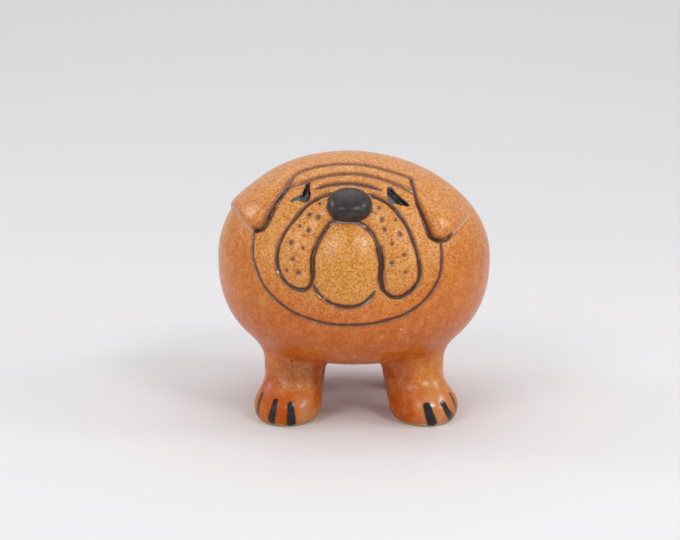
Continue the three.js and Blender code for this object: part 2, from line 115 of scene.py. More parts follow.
# Each ear stands out most at its tip and runs out into the head; its outline is given as u and v.
EAR_RAISE = 2.8
EAR_FULL_REACH = 6
EAR_GAP = 0.3
EAR_EDGE_ROUND = 2.8
EARS = [
    {
        "tip": (-33, 2),
        "run_out": 27,
        "side_share": 0.6,
        "front": [(-22.2, 17.7), (-25, 13.6), (-27.5, 9), (-29.3, 4.8), (-31.3, 1.7), (-34.4, 1.3)],
        "back": [(-36.1, 2.8), (-38.5, 5.8), (-41.1, 10.1), (-44.3, 15.7)],
        "root": [(-40, 22), (-32, 26.5), (-22, 26), (-20.5, 21.5)],
    },
    {
        "tip": (32.7, -3),
        "run_out": 20,
        "side_share": 1,
        "front": [
            (23.2, 21.8), (24.2, 16.3), (25.3, 10.4), (27, 5.6), (28.4, 1.3), (29.6, -1.8),
            (32.7, -3), (35.6, -1.7),
        ],
        "back": [(37.9, 0.8), (40.1, 3.3), (42.7, 6.4), (45.6, 11.1)],
        "root": [(42, 20), (34, 26), (25, 26)],
    },
]

# Carved lines: width, depth, how dark the glaze lies in them, and the points they run through.
STROKES = [
    (1.5, 0.7, 0.9, EARS[0]["front"]),
    (1.4, 0.8, 0.9, EARS[1]["front"] + EARS[1]["back"][:1]),
    (
        2.0, 0.5, 0.7,
        [
            (-22.2, 18.1), (-21, 21.1), (-18.2, 24.2), (-12.5, 26), (-4, 27.2), (4, 26.9),
            (12, 25.3), (23.2, 21.8),
        ],
    ),
    (
        1.9, 0.5, 0.7,
        [
            (-21.8, 17.6), (-17, 18.9), (-10.5, 20.9), (-3, 22.1), (4.5, 21.9), (11.5, 20.4),
            (18, 17.9), (23.7, 15.2),
        ],
    ),
    (
        1.8, 0.5, 0.88,
        [
            (-12, 15.7), (-7.5, 17.1), (0, 17.8), (6, 16.9), (11.7, 15.2),
        ],
    ),
    (
        1.45, 0.75, 0.9,
        [
            (-5.7, 14), (-10, 12.6), (-14.7, 9.7), (-18.6, 5.5), (-22.6, 0.3), (-25.2, -4.6),
            (-26, -10.1), (-25.2, -14.9), (-22.5, -19.2), (-18, -21.6), (-14.5, -20.8), (-13.1, -17.2),
            (-13, -10.6), (-11.4, -5.2), (-8.9, -0.8), (-6.5, 2.6),
        ],
    ),
    (
        1.45, 0.7, 0.85,
        [
            (-6.5, 2.6), (-4.5, 3), (-2, 2.8), (0.5, 2.5), (4, 2.2), (6.1, 0.8),
            (8.6, -1.9), (10.6, -6.6),
        ],
    ),
    (
        1.9, 0.9, 1.0,
        [
            (10.6, -6.6), (11.7, -12.1), (11.5, -17.6), (12.2, -21.7),
        ],
    ),
    (
        1.45, 0.8, 0.95,
        [
            (12.2, -21.7), (15.3, -24.1), (18.8, -24.1), (22.9, -21.3), (25.4, -17.3), (25.5, -12.2),
            (24.2, -6.3), (22.1, -1.1), (19.6, 3.8), (16.9, 7.6), (13.4, 10.5), (9.9, 12.4),
            (7.2, 13.5),
        ],
    ),
    (
        1.35, 0.45, 0.95,
        [
            (-12.6, -20.5), (-11, -23), (-9.6, -24.4),
        ],
    ),
    (
        1.35, 0.5, 0.95,
        [
            (-8.1, -25.5), (-4.5, -27.2), (-0.5, -27.9), (4, -27.1), (7.2, -25.1), (9.3, -22.4),
        ],
    ),
    (
        1.15, 0.5, 0.88,
        [
            (-34.5, 1.2), (-34.9, -7.1), (-32.5, -15.7), (-27.3, -23.4), (-19.3, -29.4), (-10, -32.8),
            (0, -34), (10, -33), (19.5, -30.1), (27.1, -24.8), (32.4, -16.9), (33.7, -9.1),
            (33.4, -2.9),
        ],
    ),
]
OUTLINE_SAMPLE = 0.3
CLAW_SAMPLE = 0.2
FINE_SAMPLE = 0.1
STROKE_SAMPLE = 0.12
STROKE_TAPER = 2.2
STROKE_END_SHARE = 0.45
STROKE_MEETS = 2.2

# The eye pits, as u and v.
EYES = [
    [
        (-15.3, 19), (-14, 19), (-14.2, 15.9), (-13.8, 13.9), (-14.1, 12), (-15, 10.9),
        (-16.4, 10.7), (-18.8, 11.7), (-20.9, 10.9), (-21.1, 11.7), (-19.6, 12.9), (-18.1, 13.1),
        (-17.2, 13.8), (-16.6, 15.5),
    ],
    [
        (14.3, 16.8), (15.7, 16.4), (17.1, 14.5), (18.8, 12.7), (20.5, 11.4), (22, 9.9),
        (21.5, 9.2), (19.3, 9.5), (17, 10), (15.3, 10.1), (14.2, 11.5), (13.9, 13.8),
    ],
]
EYE_DEPTH = 1.8
EYE_WALL = 0.4
# Each eye pit is deepest along this side of it, as u and v, and its floor rises the other way.
EYE_DEEP_SIDES = [(0.9, 0.3), (0.7, 0.7)]

# The whisker pits, as u and v.
PITS = [
    (-10.5, 9.9), (-14.1, 5.6), (-11, 4.5), (-17.7, 1.4), (-14.4, -0.4), (-20.7, -4.8),
    (-16.4, -7), (-20.1, -10.8), (-18, -15.7), (-22.3, -14.7), (10.9, 8.1), (11.9, 3.5),
    (16.8, 3.7), (12.8, -0.1), (18.3, -1.9), (15.4, -5.4), (19.9, -9.4), (15.4, -12.6),
    (20.3, -15.5),
]
PIT_DEPTH = 0.55
PIT_RADIUS = 0.75

# Small flaws of the firing: dark pinholes and small raised specks, painted pale in part as a highlight on
# them, as u, v and radius.
PINHOLES = [(43.5, 6.2, 0.45), (-21.1, -43.5, 0.5)]
PALE_SPECKS = [(-25.5, 20.7, 0.55), (18.8, -34.8, 0.4), (2.3, -43.4, 0.45)]

# Patches on the front legs, golden, tan and red brown, as x, z, half width and half height.
GOLD_PATCHES = [(30, 9, 8, 15), (-18, 6, 4.5, 9)]
TAN_PATCHES = [(-22.5, 19, 10, 8)]
# The red-brown patches on the legs' sides that face the gap between them are painted shade; the others are
# the glaze's own red brown.
RED_AND_SHADE_PATCHES = [(15.5, 11, 9, 17), (30, 3, 11, 7), (-12, 13, 4, 12), (-32, 14, 5, 9), (-27, 7, 8, 6)]

# Painted claws: points of each brush stroke, its half width at the start and at the end, its strength.
CLAWS = [
    ([(-34.0, -34.0, 10.6), (-35.2, -35.0, 6.8), (-36.6, -34.6, 3.0)], 0.75, 1.15, 0.85),
    ([(-29.2, -39.7, 9.6), (-30.0, -40.6, 6.0), (-30.8, -40.1, 2.6)], 1.05, 1.55, 1.0),
    ([(-23.8, -41.3, 8.8), (-23.7, -42.0, 5.0), (-23.6, -41.1, 1.9)], 1.2, 1.75, 1.0),
    ([(27.1, -41.5, 8.2), (28.0, -42.0, 5.0), (29.0, -40.9, 1.9)], 1.6, 1.85, 1.0),
    ([(33.0, -39.4, 9.0), (34.6, -38.8, 5.4), (36.1, -36.0, 2.6)], 1.2, 1.45, 1.0),
    ([(36.2, -33.4, 10.5), (37.7, -34.4, 8.0), (38.6, -34.0, 5.6)], 1.0, 1.3, 0.75),
]
# The hind feet have three plain strokes each: how far to the side and back, and the half width.
HIND_CLAWS = [(-5.6, 2.8, 1.2), (0, 0, 1.3), (5.6, 2.8, 1.2)]
HIND_CLAW_START_SHARE = 0.8
HIND_CLAW_LINE = [(10.2, 9.4), (9.4, 5.6), (10.0, 1.6)]
for side in (-1, 1):
    for across, back, half in HIND_CLAWS:
        x = side * LEGS[3][0] + across
        line = [(x, y + back, z) for y, z in HIND_CLAW_LINE]
        CLAWS.append((line, HIND_CLAW_START_SHARE * half, half, 1.0))

# The mesh: the cells it starts from, and the edges wanted close to the carving and further away from it.
NET_CELL = 1.45
NET_LOW = np.array([-56.0, -62.0, -3.5])
NET_HIGH = np.array([56.0, 62.0, 104.0])
FINE_EDGE = 0.42
FINE_REACH = 1.6
GROOVE_EDGE = 0.3
GROOVE_REACH = 0.6
EDGE_GROWTH = 0.75
REFINE_PASSES = 4

# Deep grooves pull the surface on either side down with them, which makes the flews look padded.
SHOULDER_DEPTH = 0.4
SHOULDER_WIDTH = 2.2
SHOULDER_FROM = (0.55, 0.7)

# Places across a carved line, as shares of its width: the cut, its raised lip, the dark glaze, the stain.
CUT_REACH = 0.42
LIP_HEIGHT = 0.07
LIP_PLACE = 0.95
LIP_REACH = 0.3
INK_FADE = (0.2, 0.72)
STAIN_FADE = (0.5, 1.25)

# The uneven width of a hand-cut line, as size and spacing, and how far it wanders and which way.
LINE_WAVES = [(0.1, 1.7), (0.07, 0.63)]
LINE_DRIFT = 0.07
LINE_DRIFT_SPACING = 2.3
LINE_DRIFT_WAY = np.array([0.6, 0.8])

# The uneven surface of hand work: size, spacing and seed of each wobble. It ends above the soles.
HAND_WOBBLES = [(0.1, 7.0, 4), (0.03, 2.2, 9)]
HAND_WOBBLE_FROM = (0.5, 3)


def smooth_step(value, low, high):
    t = np.clip((value - low) / (high - low), 0, 1)
    return t * t * (3 - 2 * t)


def smooth_join(a, b, size):
    """Two shapes in one, with a fillet of the given size."""
    share = np.clip(0.5 + 0.5 * (b - a) / size, 0, 1)
    return b * (1 - share) + a * share - size * share * (1 - share)


def smooth_cut(a, b, size):
    """What two shapes share, with an edge rounded by the given size."""
    return -smooth_join(-a, -b, size)


def length(vectors):
    return np.sqrt((vectors * vectors).sum(-1))


def ellipsoid(offset, size):
    """About how far each place lies outside an ellipsoid, below zero within it."""
    scaled = np.maximum(length(offset / size), TINY)
    return length(offset) * (1 - 1 / scaled)


def to_face(p):
    q = p - FACE_ORIGIN
    return q @ FACE_ACROSS, q @ FACE_UP, q @ FACE_OUT


def from_face(u, v, out):
    u, v, out = np.broadcast_arrays(u, v, out)
    return FACE_ORIGIN + u[..., None] * FACE_ACROSS + v[..., None] * FACE_UP + out[..., None] * FACE_OUT


def trunk(p):
    """Body and head: one egg, cut off in front by the wide dome of the face."""
    q = p - BODY_CENTRE
    crown = np.clip(q[..., 2] / BODY_TOP, 0, 1.3)
    x = q[..., 0] + CROWN_LEAN * crown * crown
    y = q[..., 1] * math.cos(BODY_RISE) - q[..., 2] * math.sin(BODY_RISE)
    z = q[..., 1] * math.sin(BODY_RISE) + q[..., 2] * math.cos(BODY_RISE)
    power = np.where(z < 0, BODY_BOTTOM_POWER, BODY_TOP_POWER)
    level = np.hypot(x / BODY_HALF_WIDTH, y / np.where(y < 0, BODY_FRONT, BODY_REAR))
    height = np.abs(z) / np.where(z < 0, BODY_BOTTOM, BODY_TOP)
    scaled = np.maximum((level**power + height**power) ** (1 / power), TINY)
    egg = np.sqrt(x * x + y * y + z * z) * (1 - 1 / scaled)
    dome_centre = FACE_ORIGIN + FACE_OUT * (FACE_REACH - FACE_DOME_RADIUS)
    return smooth_cut(egg, length(p - dome_centre) - FACE_DOME_RADIUS, FACE_EDGE_ROUND)


def leg(p, x, y, spread, foot_half_width, share):
    """A tapered shaft that runs out in front into a broad foot."""
    span = LEG_TOP_Z - LEG_LOW_Z
    axis = np.array([LEG_LEAN * spread / span, 0, -1])
    offset = p - np.array([x, y, LEG_TOP_Z])
    t = np.clip((offset @ axis) / (axis @ axis * span), 0, 1)
    radius = share * (LEG_TOP_RADIUS + (LEG_LOW_RADIUS - LEG_TOP_RADIUS) * t)
    shaft = length(offset - t[..., None] * axis * span) - radius
    foot_centre = np.array([x + spread, y - FOOT_FORWARD, share * FOOT_CENTRE_Z])
    foot_size = share * np.array([foot_half_width, FOOT_HALF_LENGTH, FOOT_HALF_HEIGHT])
    foot = ellipsoid(p - foot_centre, foot_size)
    front = smooth_step(y - p[..., 1], 0, LEG_LOW_RADIUS)
    return smooth_join(shaft, foot, FOOT_FILLET + (FRONT_FOOT_FILLET - FOOT_FILLET) * front)


def mound_height(p):
    u, v, out = to_face(p)
    height = np.zeros(u.shape)
    for mound_u, mound_v, half_width, half_height, raise_by in MOUNDS:
        inside = 1 - ((u - mound_u) / half_width) ** 2 - ((v - mound_v) / half_height) ** 2
        height = np.maximum(height, raise_by * np.maximum(inside, 0))
    return height * smooth_step(out, *MOUND_FADE)


def nose(p):
    """A round nose, a little squarer below, whose upper part leans forwards."""
    u, v, out = to_face(p)
    x = np.abs(u - NOSE_CENTRE[0]) / NOSE_SIZE[0]
    y = v - NOSE_CENTRE[1]
    power = np.where(y < 0, NOSE_LOWER_POWER, NOSE_UPPER_POWER)
    level = (x**power + (np.abs(y) / NOSE_SIZE[1]) ** power) ** (1 / power)
    reach = out - NOSE_CENTRE[2] + NOSE_LEAN * y
    depth = np.abs(reach) / NOSE_SIZE[2]
    total = level**NOSE_DEPTH_POWER + depth**NOSE_DEPTH_POWER
    scaled = np.maximum(total ** (1 / NOSE_DEPTH_POWER), TINY)
    return np.sqrt((u - NOSE_CENTRE[0]) ** 2 + y**2 + reach**2) * (1 - 1 / scaled)


def bare_form(p):
    """The figurine without its nose and before its soles are cut flat."""
    legs = leg(p, *LEGS[0])
    for placed in LEGS[1:]:
        legs = np.minimum(legs, leg(p, *placed))
    outer = smooth_step(np.abs(p[..., 0]), *LEG_SIDES)
    fillet = INNER_LEG_FILLET + (OUTER_LEG_FILLET - INNER_LEG_FILLET) * outer
    body = smooth_join(trunk(p), legs, fillet)
    body = smooth_join(body, ellipsoid(p - TAIL_CENTRE, TAIL_SIZE), TAIL_FILLET)
    return body - mound_height(p) + INSET


def form(p):
    return smooth_cut(smooth_join(bare_form(p), nose(p), NOSE_FILLET), -p[..., 2], SOLE_EDGE_ROUND)


SLOPE_STEP = 0.03
LEAST_STEEPNESS = 0.05
SETTLE_REACH = 1.5


def slope(p, shape=form):
    """How the shape changes along each axis, which gives the way out of it."""
    steps = SLOPE_STEP * np.eye(3)
    return np.stack([(shape(p + step) - shape(p - step)) / (2 * SLOPE_STEP) for step in steps], -1)


def settle(p, passes, shape=form):
    """Moves places onto the surface of the shape."""
    for _ in range(passes):
        gradient = slope(p, shape)
        steepness = np.maximum((gradient**2).sum(-1), LEAST_STEEPNESS)
        step = np.clip(shape(p) / steepness, -SETTLE_REACH, SETTLE_REACH)
        p = p - step[..., None] * gradient
    return p


ABOVE_FACE = 62.0
FACE_PASSES = 70
FACE_STEP = 0.8


def on_face(spots, shape=bare_form):
    """The places on the surface that lie straight behind the given spots of the face."""
    spots = np.asarray(spots, float)
    out = np.full(len(spots), ABOVE_FACE)
    for _ in range(FACE_PASSES):
        out = out - FACE_STEP * shape(from_face(spots[:, 0], spots[:, 1], out))
    return from_face(spots[:, 0], spots[:, 1], out)


RUN_STEPS = 40


def smooth_curve(points, step):
    """Points a step apart along the smooth curve through the given ones, and how far along each is."""
    known = np.asarray(points, float)
    padded = np.vstack([2 * known[0] - known[1], known, 2 * known[-1] - known[-2]])
    t = np.linspace(0, 1, RUN_STEPS, endpoint=False)[:, None]
    runs = []
    for a, b, c, d in zip(padded, padded[1:], padded[2:], padded[3:]):
        bend = (2 * a - 5 * b + 4 * c - d) * t**2
        twist = (3 * b - a - 3 * c + d) * t**3
        runs.append(0.5 * (2 * b + (c - a) * t + bend + twist))
    dense = np.vstack([*runs, known[-1:]])
    along = np.concatenate([[0], np.cumsum(length(np.diff(dense, axis=0)))])
    count = max(2, int(round(along[-1] / step)) + 1)
    places = np.linspace(0, along[-1], count)
    return np.stack([np.interp(places, along, dense[:, i]) for i in range(dense.shape[1])], -1), places


def inside_outline(u, v, outline):
    inside = np.zeros(u.shape, bool)
    for (u0, v0), (u1, v1) in zip(outline, np.roll(outline, -1, axis=0)):
        crosses = (v0 > v) != (v1 > v)
        at = u0 + (v - v0) * (u1 - u0) / np.where(v1 == v0, 1e-9, v1 - v0)
        inside ^= crosses & (u < at)
    return inside


def nearest(points, p):
    """The distance from each place to the nearest of the given points, and that point's number."""
    tree = KDTree(len(points))
    for i, point in enumerate(points):
        tree.insert(point, i)
    tree.balance()
    found = [tree.find(place)[1:] for place in p]
    return np.array([f[1] for f in found]), np.array([f[0] for f in found], int)


def surface_net(shape, low, high, cell):
    """A mesh of even triangles where the shape is zero, one point for each cell that it crosses."""
    counts = np.ceil((high - low) / cell).astype(int) + 1
    axes = [low[i] + cell * np.arange(counts[i]) for i in range(3)]
    values = shape(np.stack(np.meshgrid(*axes, indexing="ij"), -1))
    inside = values < 0
    cells = counts - 1
    total = np.zeros((cells.prod(), 3))
    hits = np.zeros(cells.prod())
    quads = []
    for axis in range(3):
        ahead = [slice(None)] * 3
        behind = [slice(None)] * 3
        ahead[axis] = slice(1, None)
        behind[axis] = slice(None, -1)
        changed = np.argwhere(inside[tuple(ahead)] != inside[tuple(behind)])
        step = np.eye(3, dtype=int)[axis]
        here = values[tuple(changed.T)]
        there = values[tuple((changed + step).T)]
        point = low + cell * (changed + (here / (here - there))[:, None] * step)
        s, t = np.eye(3, dtype=int)[(axis + 1) % 3], np.eye(3, dtype=int)[(axis + 2) % 3]
        around = []
        for a, b in ((0, 0), (1, 0), (1, 1), (0, 1)):
            number = np.ravel_multi_index((changed - a * s - b * t).T, cells)
            np.add.at(total, number, point)
            np.add.at(hits, number, 1)
            around.append(number)
        quad = np.stack(around, -1)
        quads.append(np.where((here < 0)[:, None], quad, quad[:, ::-1]))
    quads = np.concatenate(quads)
    used = np.flatnonzero(hits)
    renumber = np.zeros(len(hits), int)
    renumber[used] = np.arange(len(used))
    quads = renumber[quads]
    points = total[used] / hits[used, None]
    one_way = length(points[quads[:, 0]] - points[quads[:, 2]])
    other_way = length(points[quads[:, 1]] - points[quads[:, 3]])
    triangles = np.where(
        (one_way < other_way)[:, None, None],
        np.stack([quads[:, [0, 1, 2]], quads[:, [0, 2, 3]]], 1),
        np.stack([quads[:, [1, 2, 3]], quads[:, [1, 3, 0]]], 1),
    ).reshape(-1, 3)
    return points, triangles


def edge_list(triangles):
    """Each edge once, and the numbers of every triangle's three edges."""
    pairs = np.concatenate([triangles[:, ends] for ends in ([0, 1], [1, 2], [2, 0])])
    edges, where = np.unique(np.sort(pairs, axis=1), axis=0, return_inverse=True)
    return edges, where.reshape(3, -1).T


def refine(points, triangles, wanted):
    """Splits each edge that is longer than wanted at its middle."""
    edges, where = edge_list(triangles)
    middle = points[edges].mean(1)
    long = length(points[edges[:, 0]] - points[edges[:, 1]]) > wanted(middle)
    number = np.where(long, len(points) + np.cumsum(long) - 1, -1)
    points = np.vstack([points, settle(middle[long], 2)])
    halves = number[where]
    cuts = (halves >= 0).sum(1)
    made = [triangles[cuts == 0]]
    for turn in range(3):
        a, b, c = (triangles[:, (i + turn) % 3] for i in range(3))
        ab, bc, ca = (halves[:, (i + turn) % 3] for i in range(3))
        one = (cuts == 1) & (ab >= 0)
        made += [np.stack(t, -1)[one] for t in ((a, ab, c), (ab, b, c))]
        two = (cuts == 2) & (ca < 0)
        made += [np.stack(t, -1)[two] for t in ((ab, b, bc), (a, ab, bc), (a, bc, c))]
        if turn == 0:
            corners = ((a, ab, ca), (ab, b, bc), (ca, bc, c), (ab, bc, ca))
            made += [np.stack(t, -1)[cuts == 3] for t in corners]
    return points, np.concatenate(made)


def relax(points, triangles, share, passes):
    """Moves each point towards the middle of its neighbours and back onto the form."""
    edges, _ = edge_list(triangles)
    count = np.bincount(edges.ravel(), minlength=len(points))[:, None]
    for _ in range(passes):
        total = np.zeros(points.shape)
        for i in range(3):
            total[:, i] = np.bincount(edges[:, 0], points[edges[:, 1], i], len(points))
            total[:, i] += np.bincount(edges[:, 1], points[edges[:, 0], i], len(points))
        points = settle(points + share * (total / count - points), 1)
    return points


WAVES = 9
WAVE_SPREAD = 5


def wobble(p, scale, seed):
    """Gentle unevenness of hand work, from -1 to 1."""
    directions = np.random.default_rng(seed).normal(size=(WAVES, 3))
    phases = np.random.default_rng(seed + 1).uniform(0, 2 * math.pi, WAVES)
    return np.sin(p @ directions.T / scale + phases).sum(-1) / WAVE_SPREAD


# Where the carving lies on the surface. A line gets thinner towards an end that meets no other line.
curves = [smooth_curve(points, STROKE_SAMPLE) for *_, points in STROKES]
stroke_points, stroke_facts = [], []
for number, ((width, depth, dark, _), (spots, along)) in enumerate(zip(STROKES, curves)):
    others = np.vstack([curve for i, (curve, _) in enumerate(curves) if i != number])
    joined = [length(others - spots[end]).min() < STROKE_MEETS for end in (0, -1)]
    from_end = np.minimum(along + STROKE_TAPER * joined[0], along[-1] - along + STROKE_TAPER * joined[1])
    taper = STROKE_END_SHARE + (1 - STROKE_END_SHARE) * smooth_step(from_end, 0, STROKE_TAPER)
    uneven = np.ones(len(along))
    for turn, (size, spacing) in enumerate(LINE_WAVES, 1):
        uneven += size * np.sin(along / spacing + turn * number)
    drift = LINE_DRIFT * np.sin(along / LINE_DRIFT_SPACING + 3 * number)[:, None] * LINE_DRIFT_WAY
    stroke_points.append(on_face(spots + drift))
    stroke_facts.append(np.stack([width * taper * uneven, depth * taper, dark * (0.9 + 0.1 * taper)], -1))
stroke_points = np.vstack(stroke_points)
stroke_facts = np.vstack(stroke_facts)

ear_outlines = []
for ear in EARS:
    ring = ear["front"] + ear["back"] + ear["root"] + ear["front"][:1]
    spots, _ = smooth_curve(ring, OUTLINE_SAMPLE)
    ear_outlines.append((spots[:-1], on_face(spots[:-1])))
eye_outlines = []
for outline in EYES:
    closed = np.array(outline + outline[:1])
    spots = np.vstack([
        closed[i] + np.linspace(0, 1, RUN_STEPS, endpoint=False)[:, None] * (closed[i + 1] - closed[i])
        for i in range(len(outline))
    ])
    eye_outlines.append((spots, on_face(spots)))
pit_points = on_face(PITS)
pinhole_points = on_face(np.array(PINHOLES)[:, :2])
speck_points = on_face(np.array(PALE_SPECKS)[:, :2])
ear_backs = [on_face(smooth_curve(ear["front"][-1:] + ear["back"], OUTLINE_SAMPLE)[0]) for ear in EARS]
claw_points, claw_facts = [], []
for points, first_half, last_half, strength in CLAWS:
    spine, along = smooth_curve(points, CLAW_SAMPLE)
    share = along / along[-1]
    half = first_half + (last_half - first_half) * smooth_step(share, 0, 0.8)
    claw_points.append(settle(spine, 6))
    claw_facts.append(np.stack([half, np.full(len(spine), strength)], -1))
claw_points = np.vstack(claw_points)
claw_facts = np.vstack(claw_facts)

# The mesh: an even net of the form, finer along the carving, the ears and the painted claws.
groove_points = np.vstack([stroke_points[::3]] + [o[1][::2] for o in eye_outlines])
feature_points = np.vstack(
    [stroke_points[::3], pit_points, pinhole_points, speck_points, claw_points]
    + [o[1] for o in eye_outlines]
    + [o[1][::2] for o in ear_outlines]
)


def wanted_edge(p):
    """The longest edge that the mesh may have at each place."""
    away, _ = nearest(feature_points, p)
    wanted = FINE_EDGE + EDGE_GROWTH * np.maximum(away - FINE_REACH, 0)
    close = away < GROOVE_REACH
    if close.any():
        groove_away, _ = nearest(groove_points, p[close])
        wanted[close] = np.where(groove_away < GROOVE_REACH, GROOVE_EDGE, wanted[close])
    return wanted


points, triangles = surface_net(form, NET_LOW, NET_HIGH, NET_CELL)
points = relax(settle(points, 3), triangles, 0.5, 2)
for _ in range(REFINE_PASSES):
    points, triangles = refine(points, triangles, wanted_edge)
points = relax(points, triangles, 0.4, 3)
normals = slope(points)
normals /= length(normals)[:, None]

# How far each point is moved in or out along its normal, and what glaze lies on it.
FRONT_FADE = (0, 8)
NOSE_GLAZE_FADE = (-0.45, 0.05)
NOSE_GLAZE_REACH = 0.9
NOSE_RUN_STRENGTH = 0.8
NOSE_RUN_FADE = (0.15, 0.6)
AMBER_FADE = (1.2, 5)

u, v, out = to_face(points)
on_front = smooth_step(out, *FRONT_FADE)
off_nose = nose(points)
on_nose = smooth_step(bare_form(points) - off_nose, *NOSE_GLAZE_FADE) * (off_nose < NOSE_GLAZE_REACH)
run_away, _ = nearest(on_face(smooth_curve(NOSE_RUN, FINE_SAMPLE)[0]), points)
on_nose = np.maximum(on_nose, NOSE_RUN_STRENGTH * (1 - smooth_step(run_away, *NOSE_RUN_FADE)))
clear_of_nose = 1 - smooth_step(on_nose, 0.3, 0.9)

lift = np.zeros(len(points))
for size, spacing, seed in HAND_WOBBLES:
    lift += size * wobble(points, spacing, seed)
lift *= smooth_step(points[:, 2], *HAND_WOBBLE_FROM)

amber = np.zeros(len(points))
for ear, (outline, outline_points) in zip(EARS, ear_outlines):
    away, _ = nearest(outline_points, points)
    inside = inside_outline(u, v, outline) & (out > 0)
    signed = np.where(inside, away, -away)
    from_tip = np.hypot(ear["side_share"] * (u - ear["tip"][0]), v - ear["tip"][1])
    fade = 1 - smooth_step(from_tip, EAR_FULL_REACH, ear["run_out"])
    rounded = np.clip((signed - EAR_GAP) / EAR_EDGE_ROUND, 0, 1)
    lift += EAR_RAISE * fade * np.sqrt(1 - (1 - rounded) ** 2) * on_front
    amber = np.maximum(amber, fade * inside * (1 - smooth_step(signed, *AMBER_FADE)))

stroke_away, stroke_number = nearest(stroke_points, points)
width, depth, dark = stroke_facts[stroke_number].T
across = stroke_away / width
shoulder = SHOULDER_DEPTH * smooth_step(depth, *SHOULDER_FROM)
shoulder *= np.exp(-((stroke_away / SHOULDER_WIDTH) ** 2))
lift -= depth * np.exp(-((across / CUT_REACH) ** 2)) * clear_of_nose
lift -= shoulder * clear_of_nose
lift += LIP_HEIGHT * np.exp(-(((across - LIP_PLACE) / LIP_REACH) ** 2)) * clear_of_nose
ink = dark * (1 - smooth_step(across, *INK_FADE)) * clear_of_nose
stain = dark * (1 - smooth_step(across, *STAIN_FADE)) * clear_of_nose

# The eye pits: "deep" goes from 0 at the shallow side to 1 at the deep side, across the pit's width.
EYE_SHALLOW_SHARE = 0.3
EYE_FLOOR_SLOPE = (-1.8, 1.4)
EYE_WALL_FADE = (-0.2, 2 * EYE_WALL)
EYE_INK_FADE = (-0.45, 0.1)
EYE_BLACK_FADE = (-0.1, 0.2)
EYE_BLACK_TOP = (15.5, 17.5)
EYE_REFLECTION_FADE = (0.01, 0.13)

eye = np.zeros(len(points))
# A grey-blue painted reflection on each pit's shallow floor, fading out towards the deep side.
painted_eye_reflection = np.zeros(len(points))
for (outline, outline_points), deep_side in zip(eye_outlines, EYE_DEEP_SIDES):
    away, _ = nearest(outline_points, points)
    inside = inside_outline(u, v, outline) & (out > 0)
    signed = np.where(inside, away, -away)
    deep = np.stack([u, v], -1) @ np.array(deep_side) - (outline @ np.array(deep_side)).mean()
    deep = smooth_step(deep, *EYE_FLOOR_SLOPE)
    pit_depth = EYE_DEPTH * (EYE_SHALLOW_SHARE + (1 - EYE_SHALLOW_SHARE) * deep)
    lift -= pit_depth * smooth_step(signed, *EYE_WALL_FADE)
    ink = np.maximum(ink, smooth_step(signed, *EYE_INK_FADE))
    eye = np.maximum(eye, smooth_step(signed, *EYE_BLACK_FADE) * (1 - smooth_step(v, *EYE_BLACK_TOP)))
    painted_eye_reflection = np.maximum(painted_eye_reflection, inside * (1 - smooth_step(deep, *EYE_REFLECTION_FADE)))

# The whisker pits, no two quite alike in size and darkness.
PIT_INK_FADE = (0.45, 1.35)
PIT_STAIN_FADE = (0.9, 2.0)

pit_away, pit_number = nearest(pit_points, points)
pit_size = PIT_RADIUS * (0.85 + 0.35 * np.sin(7.3 * pit_number) ** 2)
pit_dark = 0.75 + 0.25 * np.sin(3.1 * pit_number + 1) ** 2
pit_across = pit_away / pit_size
lift -= PIT_DEPTH * np.exp(-(pit_across**2)) * clear_of_nose
ink = np.maximum(ink, pit_dark * (1 - smooth_step(pit_across, *PIT_INK_FADE)) * clear_of_nose)
stain = np.maximum(stain, pit_dark * (1 - smooth_step(pit_across, *PIT_STAIN_FADE)) * clear_of_nose)

# The painted highlight along the groove under the nose, the firing's small flaws, painted pale in part as a
# highlight on the raised specks, and the pale line behind each ear.
MOUTH_GLINT_STRENGTH = 0.8
MOUTH_GLINT_FADE = (0.5, 1.6)
PINHOLE_DEPTH = 0.4
SPECK_HEIGHT = 0.3
EAR_LINE_STRENGTH = 0.55
EAR_LINE_FADE = (0.15, 0.6)

mouth_glint_away, _ = nearest(on_face(smooth_curve(MOUTH_GLINT_LINE, FINE_SAMPLE)[0]), points)
painted_mouth_glint = MOUTH_GLINT_STRENGTH * (1 - smooth_step(mouth_glint_away / MOUTH_GLINT_HALF_WIDTH, *MOUTH_GLINT_FADE))
hole_away, hole_number = nearest(pinhole_points, points)
hole = np.exp(-((hole_away / np.array(PINHOLES)[hole_number, 2]) ** 2))
lift -= PINHOLE_DEPTH * hole
ink = np.maximum(ink, hole)
speck_away, speck_number = nearest(speck_points, points)
pale = np.exp(-((speck_away / np.array(PALE_SPECKS)[speck_number, 2]) ** 2))
lift += SPECK_HEIGHT * pale
back_away, _ = nearest(np.vstack(ear_backs), points)
pale = np.maximum(pale, EAR_LINE_STRENGTH * (1 - smooth_step(back_away, *EAR_LINE_FADE)) * (1 - ink))

# The painted claws, with ragged edges.
CLAW_RAGGED = 0.12
CLAW_RAGGED_SPACING = 0.45
CLAW_EDGE = (-0.18, 0.22)

claw_away, claw_number = nearest(claw_points, points)
claw_half, claw_strength = claw_facts[claw_number].T
ragged = CLAW_RAGGED * wobble(points, CLAW_RAGGED_SPACING, 21)
claw = claw_strength * (1 - smooth_step(claw_away - claw_half + ragged, *CLAW_EDGE))

